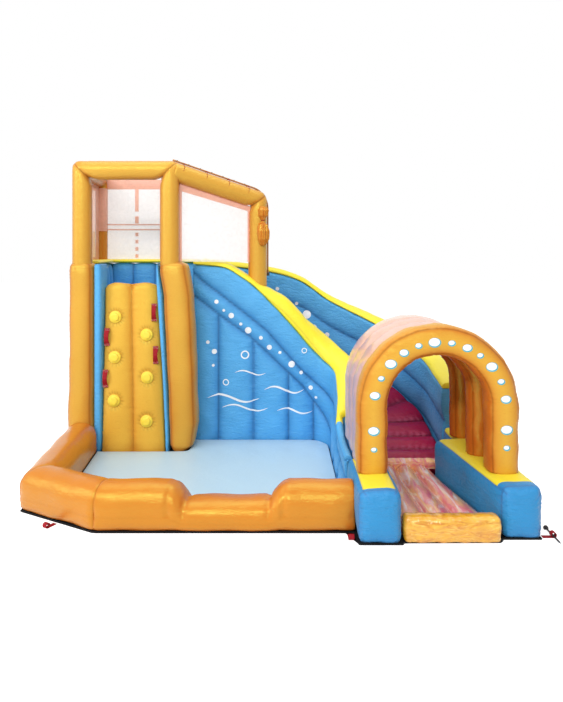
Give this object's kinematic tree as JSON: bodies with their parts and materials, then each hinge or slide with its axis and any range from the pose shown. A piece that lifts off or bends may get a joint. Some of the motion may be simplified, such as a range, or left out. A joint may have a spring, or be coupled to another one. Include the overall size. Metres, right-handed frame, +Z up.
{
  "type": "inflatable water park",
  "caption": "Inflatable water park with a walled pool, a climbing wall, a netted platform and a curved slide that ends in an arched tunnel.",
  "frame": {"origin": "centre of the bounding box on the ground", "axes": "+Z up, the front of the park faces -Y, +X is to the right as seen from the front"},
  "size_m": [3.848, 3.2468, 2.6796],
  "materials": {
    "orange_cloth": "coated woven cloth, satin, with fine sewn puckers",
    "blue_cloth": "coated woven cloth, satin",
    "yellow_cloth": "coated woven cloth, satin",
    "pool_blue_cloth": "coated woven cloth, satin",
    "crimson_cloth": "smooth coated cloth, glossy",
    "salmon_film": "thin see-through cloth",
    "net": "knotless white net with salmon hems",
    "red_webbing": "woven webbing, matte",
    "black_cloth": "coated cloth, matte",
    "clear_film": "clear film over air and water, glossy",
    "gold_film": "wet tinted film, glossy",
    "hose_plastic": "soft plastic",
    "blower_plastic": "moulded plastic",
    "dark_plastic": "moulded plastic"
  },
  "bodies": {
    "park": {"ground_sheet": "black_cloth", "pool_floor": "pool_blue_cloth", "pool_wall_left": "orange_cloth", "pool_wall_corner": "orange_cloth", "pool_wall_front": "orange_cloth", "tower_column_left": "orange_cloth", "tower_column_right": "orange_cloth", "climbing_wall": "orange_cloth", "lining_left": "blue_cloth", "lining_right": "blue_cloth", "deck": "blue_cloth", "tower_wall_left": "blue_cloth", "tower_wall_back": "blue_cloth", "tower_cap": "yellow_cloth", "hold_1": "yellow_cloth", "hold_2": "yellow_cloth", "hold_3": "yellow_cloth", "hold_4": "yellow_cloth", "hold_5": "yellow_cloth", "hold_6": "yellow_cloth", "handle_1": "red_webbing", "handle_2": "red_webbing", "handle_3": "red_webbing", "handle_4": "red_webbing", "front_frame": "orange_cloth", "left_frame": "orange_cloth", "right_frame": "orange_cloth", "wing_frame": "orange_cloth", "net_back": "net", "net_left": "net", "net_wing": "net", "slide_lane": "crimson_cloth", "slide_wall_inner": "blue_cloth", "slide_wall_outer": "blue_cloth", "slide_cap_inner": "yellow_cloth", "slide_cap_outer": "yellow_cloth", "bolster_left": "blue_cloth", "bolster_right": "blue_cloth", "tunnel_arch_front": "orange_cloth", "tunnel_rib_middle": "orange_cloth", "tunnel_rib_rear": "orange_cloth", "tunnel_cover": "salmon_film", "landing_mat": "clear_film", "landing_bumper": "gold_film", "spray_hose": "hose_plastic", "hose_connector": "hose_plastic", "anchor_strap_1": "red_webbing", "anchor_strap_2": "red_webbing", "anchor_strap_3": "red_webbing", "blower_housing": "blower_plastic", "blower_grille": "dark_plastic", "blower_motor": "dark_plastic", "air_inlet_sleeve": "blue_cloth"},
    "stake": {"ground_stake": "dark_plastic"},
    "tap_nut": {"hose_nut": "dark_plastic"},
    "tied_sleeve": {"deflation_sleeve": "orange_cloth", "sleeve_tie": "red_webbing"},
    "impeller": {"blower_impeller": "dark_plastic"},
    "rocker": {"blower_switch": "red_webbing"}
  },
  "joints": [
    {"name": "stake_slide", "type": "slide", "parent": "park", "child": "stake", "axis": [0, 1, 0], "range_m": [-0.07, 0.12]},
    {"name": "nut_turn", "type": "hinge", "parent": "park", "child": "tap_nut", "pos_m": [0.0572, 0.5475, 1.59], "axis": [0, 0, 1], "continuous": true},
    {"name": "sleeve_swing", "type": "hinge", "parent": "park", "child": "tied_sleeve", "pos_m": [0.0027, 0.4287, 2.235], "axis": [-0.866, -0.5, 0], "range_deg": [0, 70]},
    {"name": "impeller_spin", "type": "hinge", "parent": "park", "child": "impeller", "pos_m": [1.5808, 1.4328, 0.2], "axis": [0.7071, -0.7071, 0], "continuous": true},
    {"name": "switch_rock", "type": "hinge", "parent": "park", "child": "rocker", "pos_m": [1.6162, 1.3974, 0.3663], "axis": [0.7071, -0.7071, 0], "range_deg": [-10, 10]}
  ]
}
